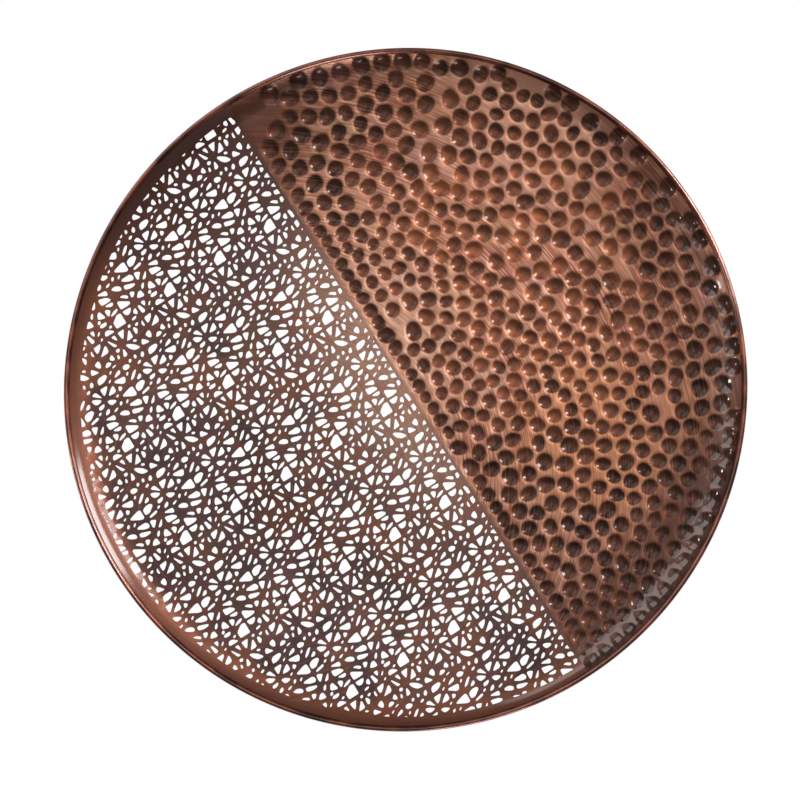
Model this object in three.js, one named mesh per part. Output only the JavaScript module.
// Round copper tray, 400 mm across: one half is hammered all over, the other half is pierced
// into an open network. The two half sheets meet edge to edge just off the diameter, a flat
// strap runs along the joint underneath, and a folded copper binding with a wire core closes
// the rim. Millimetres, +Z up, origin on the resting plane below the centre of the tray.
// The joint runs along Y, and the hammered half lies towards +X.

import * as THREE from "three";

// Driving dimensions.
const TRAY_RADIUS = 200;
const SHEET = 1.0;
const DIMPLE_DEPTH = 1.6;
const GAP = 0.3;

// Dished section of the sheet, given by the slope of its mid-line.
const BASE_RADIUS = 100;
const LIP_START = 184;
const LIP_ENTRY_ANGLE = THREE.MathUtils.degToRad(9.5);
const LIP_EXIT_ANGLE = THREE.MathUtils.degToRad(50);

// Rim: a wire inside a U-shaped binding whose legs hold the edge of the sheet.
const WIRE_RADIUS = 0.6;
const BINDING_INNER = WIRE_RADIUS + GAP;
const BINDING_WALL = 0.5;
const BINDING_OUTER = BINDING_INNER + BINDING_WALL;
const BINDING_LEG = 1.5;

// Joint between the halves, and the strap below it.
const SEAM_X = 1.5;
const SEAM_BOW = 0.05;
const STRAP_WIDTH = 3.6;
const STRAP_THICKNESS = DIMPLE_DEPTH - GAP;
const STRAP_END_CLEARANCE = 2;

// Hammer dimples.
const DIMPLE_COUNT = 515;
const DIMPLE_SEED = 7;
const DIMPLE_REACH = 193;
const DIMPLE_SEAM_MARGIN = 7.6;
const DIMPLE_SPACING = 12.4;
const DIMPLE_ROUNDS = 14;
const DIMPLE_PUSH = 0.3;
const DIMPLE_NEIGHBOURS = 3;
const DIMPLE_SHARE_MIN = 0.42;
const DIMPLE_SHARE_MAX = 0.5;
const DIMPLE_RADIUS_MAX = 5.6;
const DIMPLE_EDGE_MARGIN = 0.4;
const DIMPLE_SIDES = 4;
const HAMMERED_EDGE = 196.8;

// Piercing: a repeat of this size carries these windows, as corners from its corner next to
// the centre of the tray, X towards the joint and Y away from the far end of the joint.
const REPEAT_X = 34.8;
const REPEAT_Y = 64.6;
const PIERCED_REACH = 190;
const PIERCED_EDGE_X = -0.8;
const PIERCED_EDGE = 191;
const WINDOWS = [
  [[15.3, 4.2], [20.2, 0.2], [21.9, 1.2], [21.8, 5.9], [15.8, 6.3]],
  [[14.4, 17.6], [16.5, 17.3], [20.9, 21.8], [20.0, 22.9], [16.4, 22.2]],
  [[23.4, 28.2], [25.0, 26.0], [30.2, 26.4], [29.0, 28.9], [23.8, 29.4]],
  [[6.2, 40.6], [12.2, 39.9], [12.4, 42.6], [6.6, 44.2]],
  [[-0.9, 42.0], [2.5, 39.9], [4.8, 40.4], [4.7, 44.9], [2.9, 45.2]],
  [[14.6, 51.3], [16.6, 51.2], [21.3, 54.0], [21.0, 55.1], [15.0, 54.8]],
  [[23.2, 58.0], [24.3, 57.7], [30.4, 61.6], [29.8, 62.6], [23.4, 61.9]],
];

// Facet counts.
const HALF_TURN_STEPS = 40;
const WIRE_STEPS = 6;
const BEAD_STEPS = 4;
const LIP_STEPS = 3;
const STRAP_STEPS = 16;
const SEAM_STEPS = 12;
const CIRCLE_TOLERANCE = 1e-6;

// Worked out from the driving dimensions.
const BASE_MID_HEIGHT = DIMPLE_DEPTH + SHEET / 2;
const WIRE_RING_RADIUS = TRAY_RADIUS - BINDING_OUTER;
const SHEET_END_BACK = WIRE_RADIUS + GAP;
const LIP_END = WIRE_RING_RADIUS - SHEET_END_BACK * Math.cos(LIP_EXIT_ANGLE);
const LIP_BEND_RADIUS = (LIP_END - LIP_START)
  / (Math.sin(LIP_EXIT_ANGLE) - Math.sin(LIP_ENTRY_ANGLE));
const BOWL_CURVE = Math.tan(LIP_ENTRY_ANGLE) / (2 * (LIP_START - BASE_RADIUS));

// Slope of the sheet's mid-line at a given radius.
function slopeAngle(radius) {
  if (radius <= BASE_RADIUS) {
    return 0;
  }
  if (radius <= LIP_START) {
    return Math.atan(2 * BOWL_CURVE * (radius - BASE_RADIUS));
  }
  return Math.asin(Math.sin(LIP_ENTRY_ANGLE) + (radius - LIP_START) / LIP_BEND_RADIUS);
}

// Height of the mid-line above the resting plane at a given radius.
function midHeight(radius) {
  const bowlReach = THREE.MathUtils.clamp(radius, BASE_RADIUS, LIP_START) - BASE_RADIUS;
  const bowl = BASE_MID_HEIGHT + BOWL_CURVE * bowlReach ** 2;
  if (radius <= LIP_START) {
    return bowl;
  }
  return bowl + LIP_BEND_RADIUS * (Math.cos(LIP_ENTRY_ANGLE) - Math.cos(slopeAngle(radius)));
}

// A point of the dished section as (radius, height), moved off the mid-line along its normal.
function sectionPoint(radius, offset) {
  const angle = slopeAngle(radius);
  return new THREE.Vector2(
    radius - offset * Math.sin(angle),
    midHeight(radius) + offset * Math.cos(angle),
  );
}

// A point of the dish above the plan position (x, y), moved off the mid-surface.
function dishPoint(plan, offset) {
  const radius = plan.length();
  const section = sectionPoint(radius, offset);
  const along = plan.clone().setLength(section.x);
  return new THREE.Vector3(along.x, along.y, section.y);
}

// Repeatable random numbers between 0 and 1.
function makeRandom(seed) {
  let state = seed;
  return () => {
    state = (1664525 * state + 1013904223) % 4294967296;
    return state / 4294967296;
  };
}

// How far the neighbours of a blow push it away, each by a share of its nearness.
function pushOn(centre, centres) {
  const push = new THREE.Vector2();
  for (const other of centres) {
    const away = centre.clone().sub(other);
    const distance = away.length();
    if (other !== centre && distance < DIMPLE_SPACING) {
      push.add(away.setLength(DIMPLE_PUSH * (DIMPLE_SPACING - distance)));
    }
  }
  return push;
}

// Where the hammer fell: scattered blows, spread apart as a hand evens them out. They keep
// clear of the plain strip at the joint and of the rim, and line up along both.
function dimpleLayout() {
  const random = makeRandom(DIMPLE_SEED);
  let centres = [];
  for (let i = 0; i < DIMPLE_COUNT; i++) {
    const bearing = Math.PI * (random() - 0.5);
    const radius = DIMPLE_REACH * Math.sqrt(random());
    centres.push(new THREE.Vector2(radius * Math.cos(bearing), radius * Math.sin(bearing)));
  }
  for (let round = 0; round < DIMPLE_ROUNDS; round++) {
    centres = centres.map((centre) => {
      const moved = centre.clone().add(pushOn(centre, centres));
      moved.x = Math.max(moved.x, DIMPLE_SEAM_MARGIN);
      return moved.clampLength(0, DIMPLE_REACH);
    });
  }
  return centres.map((centre) => {
    const share = THREE.MathUtils.lerp(DIMPLE_SHARE_MIN, DIMPLE_SHARE_MAX, random());
    return { centre, radius: mouthRadius(centre, centres, share) };
  });
}

// Radius of the mouth of a dimple: a share of the distance to its nearest neighbours, clear
// of the closest one and of the rim.
function mouthRadius(centre, centres, share) {
  const distances = centres.map((other) => centre.distanceTo(other)).sort((a, b) => a - b);
  const nearest = distances.slice(1, 1 + DIMPLE_NEIGHBOURS);
  const spacing = nearest.reduce((sum, distance) => sum + distance) / DIMPLE_NEIGHBOURS;
  const beyond = HAMMERED_EDGE - DIMPLE_EDGE_MARGIN - centre.length();
  return Math.min(share * spacing, DIMPLE_RADIUS_MAX, nearest[0] / 2 - GAP, beyond);
}

// The mouth of a dimple in plan.
function dimpleMouth(dimple) {
  const mouth = [];
  for (let i = 0; i < DIMPLE_SIDES; i++) {
    const angle = dimple.centre.x + 2 * Math.PI * i / DIMPLE_SIDES;
    const spoke = new THREE.Vector2(Math.cos(angle), Math.sin(angle));
    mouth.push(spoke.multiplyScalar(dimple.radius).add(dimple.centre));
  }
  return mouth;
}

// Arc of plan points at one radius, from the joint round the rim and back to the joint.
// side is +1 for the hammered half and -1 for the pierced half.
function rimArc(radius, side) {
  const edge = SEAM_X + side * GAP / 2;
  const start = Math.acos(side * edge / radius);
  const points = [];
  for (let i = 0; i <= HALF_TURN_STEPS; i++) {
    const angle = THREE.MathUtils.lerp(-start, start, i / HALF_TURN_STEPS);
    points.push(new THREE.Vector2(side * radius * Math.cos(angle), side * radius * Math.sin(angle)));
  }
  return points;
}

// Plan points down the joint between the two ends of an arc, bowed a hair into the half so
// that no three of them are in line.
function seamLine(arc, side) {
  const points = [];
  for (let i = 1; i < SEAM_STEPS; i++) {
    const share = i / SEAM_STEPS;
    const point = arc[HALF_TURN_STEPS].clone().lerp(arc[0], share);
    point.x += side * SEAM_BOW * Math.sin(Math.PI * share);
    points.push(point);
  }
  return points;
}

// Windows of every repeat that lie whole inside the border of the pierced half.
function windowLayout() {
  const isInside = (point) => point.x < PIERCED_EDGE_X && point.length() < PIERCED_REACH;
  const rows = Math.ceil(TRAY_RADIUS / REPEAT_Y);
  const columns = Math.ceil(TRAY_RADIUS / REPEAT_X);
  const windows = [];
  for (let column = -columns; column <= 0; column++) {
    for (let row = -rows; row <= rows; row++) {
      for (const corners of WINDOWS) {
        const window = corners.map(([x, y]) => {
          return new THREE.Vector2(x + column * REPEAT_X, -(y + row * REPEAT_Y));
        });
        if (window.every(isInside)) {
          windows.push(window);
        }
      }
    }
  }
  return windows;
}

// True if point d lies inside the circle through a, b and c, which turn anticlockwise.
function isInCircle(a, b, c, d) {
  const [ax, ay, bx, by, cx, cy] = [a.x - d.x, a.y - d.y, b.x - d.x, b.y - d.y, c.x - d.x, c.y - d.y];
  const lift = (x, y) => x * x + y * y;
  return (lift(ax, ay) * (bx * cy - cx * by)
    - lift(bx, by) * (ax * cy - cx * ay)
    + lift(cx, cy) * (ax * by - bx * ay)) > CIRCLE_TOLERANCE;
}

// Swaps shared edges of a plan mesh until its triangles are compact, so that the sheet
// follows the curve of the dish.
function compactFaces(plan, faces) {
  let swaps = 1;
  while (swaps > 0) {
    swaps = 0;
    const owners = new Map();
    faces.forEach((face, f) => {
      face.forEach((a, k) => owners.set(`${a} ${face[(k + 1) % 3]}`, f));
    });
    const touched = new Set();
    faces.forEach((face, f) => {
      for (let k = 0; k < 3 && !touched.has(f); k++) {
        const [a, b, c] = [face[k], face[(k + 1) % 3], face[(k + 2) % 3]];
        const g = owners.get(`${b} ${a}`);
        if (g === undefined || touched.has(g)) {
          continue;
        }
        const d = faces[g].find((corner) => corner !== a && corner !== b);
        if (isInCircle(plan[a], plan[b], plan[c], plan[d])) {
          faces[f] = [c, a, d];
          faces[g] = [d, b, c];
          touched.add(f).add(g);
          swaps++;
        }
      }
    });
  }
  return faces;
}

// One half of the dish as a closed sheet: a web between dimple mouths or windows, a bowl in
// each mouth, and regular rows beyond webEdge, the radius where the web ends. Both faces have
// the same plan, a thickness apart.
function sheetHalf(side, webEdge, dimples, windows) {
  const mouths = dimples.map(dimpleMouth);
  const arc = rimArc(webEdge, side);
  const seam = seamLine(arc, side);
  const border = [...arc, ...seam];
  const plan = [...border, ...mouths.flat(), ...windows.flat()];
  const drops = plan.map(() => 0);
  const faces = compactFaces(plan, THREE.ShapeUtils.triangulateShape(border, [...mouths, ...windows]));
  const edges = [];

  let corner = border.length + DIMPLE_SIDES * dimples.length;
  for (const window of windows) {
    edges.push(facingIn(window).map((i) => corner + i));
    corner += window.length;
  }

  dimples.forEach((dimple, index) => {
    const first = border.length + index * DIMPLE_SIDES;
    const bottom = plan.length;
    plan.push(dimple.centre);
    drops.push(DIMPLE_DEPTH * dimple.radius / DIMPLE_RADIUS_MAX);
    for (let i = 0; i < DIMPLE_SIDES; i++) {
      faces.push([first + i, first + (i + 1) % DIMPLE_SIDES, bottom]);
    }
  });

  let inner = arc.map((_, i) => i);
  const edgeStart = [inner[0]];
  const edgeEnd = [inner[HALF_TURN_STEPS]];
  for (let row = 1; row <= LIP_STEPS; row++) {
    const radius = THREE.MathUtils.lerp(webEdge, LIP_END, row / LIP_STEPS);
    const outer = rimArc(radius, side).map((point) => {
      plan.push(point);
      drops.push(0);
      return plan.length - 1;
    });
    for (let i = 0; i < HALF_TURN_STEPS; i++) {
      faces.push([inner[i], outer[i], outer[i + 1]], [inner[i], outer[i + 1], inner[i + 1]]);
    }
    inner = outer;
    edgeStart.push(inner[0]);
    edgeEnd.push(inner[HALF_TURN_STEPS]);
  }
  const seamIndex = seam.map((_, i) => arc.length + i);
  edges.push([...edgeStart, ...inner.slice(1, -1), ...edgeEnd.reverse(), ...seamIndex]);
  return closedSheet(plan, drops, faces, edges);
}

// Corner numbers of a window, ordered clockwise so that the sheet is on their left.
function facingIn(window) {
  const order = window.map((_, i) => i);
  return THREE.ShapeUtils.isClockWise(window) ? order : order.reverse();
}

// Closed solid between an upper and a lower copy of a plan mesh, joined along its edges.
function closedSheet(plan, drops, faces, edges) {
  const positions = [];
  for (const offset of [SHEET / 2, -SHEET / 2]) {
    plan.forEach((point, i) => {
      const place = dishPoint(point, offset - drops[i]);
      positions.push(place.x, place.y, place.z);
    });
  }
  const under = plan.length;
  const index = [];
  for (const [a, b, c] of faces) {
    index.push(a, b, c, under + a, under + c, under + b);
  }
  for (const edge of edges) {
    edge.forEach((a, i) => {
      const b = edge[(i + 1) % edge.length];
      index.push(a, under + a, b, b, under + a, under + b);
    });
  }
  const geometry = new THREE.BufferGeometry();
  geometry.setAttribute("position", new THREE.Float32BufferAttribute(positions, 3));
  geometry.setIndex(index);
  geometry.computeVertexNormals();
  return geometry;
}

// Flat strap along the joint, bent to follow the underside of the dish.
function seamStrap() {
  const reach = LIP_START - STRAP_END_CLEARANCE;
  const over = [];
  const under = [];
  for (let i = 0; i <= STRAP_STEPS; i++) {
    const along = THREE.MathUtils.lerp(-reach, reach, i / STRAP_STEPS);
    const top = sectionPoint(Math.abs(along), -SHEET / 2 - GAP);
    const bottom = sectionPoint(Math.abs(along), -SHEET / 2 - GAP - STRAP_THICKNESS);
    over.push(new THREE.Vector2(Math.sign(along) * top.x, top.y));
    under.push(new THREE.Vector2(Math.sign(along) * bottom.x, bottom.y));
  }
  const outline = new THREE.Shape([...under, ...over.reverse()]);
  const strap = new THREE.ExtrudeGeometry(outline, { depth: STRAP_WIDTH, bevelEnabled: false });
  strap.rotateX(Math.PI / 2);
  strap.rotateZ(Math.PI / 2);
  return strap.translate(SEAM_X - STRAP_WIDTH / 2, 0, 0);
}

// A turned solid about Z from a closed outline of (radius, height) points.
function turned(outline) {
  const geometry = new THREE.LatheGeometry(outline, 2 * HALF_TURN_STEPS);
  return geometry.rotateX(Math.PI / 2);
}

// Centre of the rim wire in the section.
function wireCentre() {
  const back = new THREE.Vector2(Math.cos(LIP_EXIT_ANGLE), Math.sin(LIP_EXIT_ANGLE));
  return back.multiplyScalar(SHEET_END_BACK).add(sectionPoint(LIP_END, 0));
}

// A section point given by its distance and bearing from the wire; bearing 0 is the lip's slope.
function aroundWire(distance, bearing) {
  const angle = LIP_EXIT_ANGLE + bearing;
  const spoke = new THREE.Vector2(Math.cos(angle), Math.sin(angle));
  return spoke.multiplyScalar(distance).add(wireCentre());
}

// U-shaped binding folded over the edge of both halves.
function rimBinding() {
  const legEnd = (side, width) => {
    return aroundWire(Math.hypot(BINDING_LEG, width), side * (Math.PI - Math.atan2(width, BINDING_LEG)));
  };
  const outline = [legEnd(-1, BINDING_OUTER)];
  for (let i = 0; i <= BEAD_STEPS; i++) {
    outline.push(aroundWire(BINDING_OUTER, Math.PI * (i / BEAD_STEPS - 0.5)));
  }
  outline.push(legEnd(1, BINDING_OUTER), legEnd(1, BINDING_INNER));
  for (let i = 0; i <= BEAD_STEPS; i++) {
    outline.push(aroundWire(BINDING_INNER, Math.PI * (0.5 - i / BEAD_STEPS)));
  }
  outline.push(legEnd(-1, BINDING_INNER), outline[0].clone());
  return turned(outline);
}

// Round wire that stiffens the rim, hidden inside the binding.
function rimWire() {
  const outline = [];
  for (let i = 0; i <= WIRE_STEPS; i++) {
    outline.push(aroundWire(WIRE_RADIUS, 2 * Math.PI * (i % WIRE_STEPS) / WIRE_STEPS));
  }
  return turned(outline);
}

const tray = new THREE.Group();

function addPiece(name, geometry, color, roughness) {
  const material = new THREE.MeshStandardMaterial({ color, roughness, metalness: 1 });
  const mesh = new THREE.Mesh(geometry, material);
  mesh.name = name;
  tray.add(mesh);
}

addPiece("hammered_half", sheetHalf(1, HAMMERED_EDGE, dimpleLayout(), []), 0x9c5f47, 0.3);
addPiece("pierced_half", sheetHalf(-1, PIERCED_EDGE, [], windowLayout()), 0x6e4436, 0.45);
addPiece("seam_strap", seamStrap(), 0xa8674b, 0.45);
addPiece("rim_binding", rimBinding(), 0xb4694a, 0.25);
addPiece("rim_wire", rimWire(), 0xa8674b, 0.45);

export default tray;
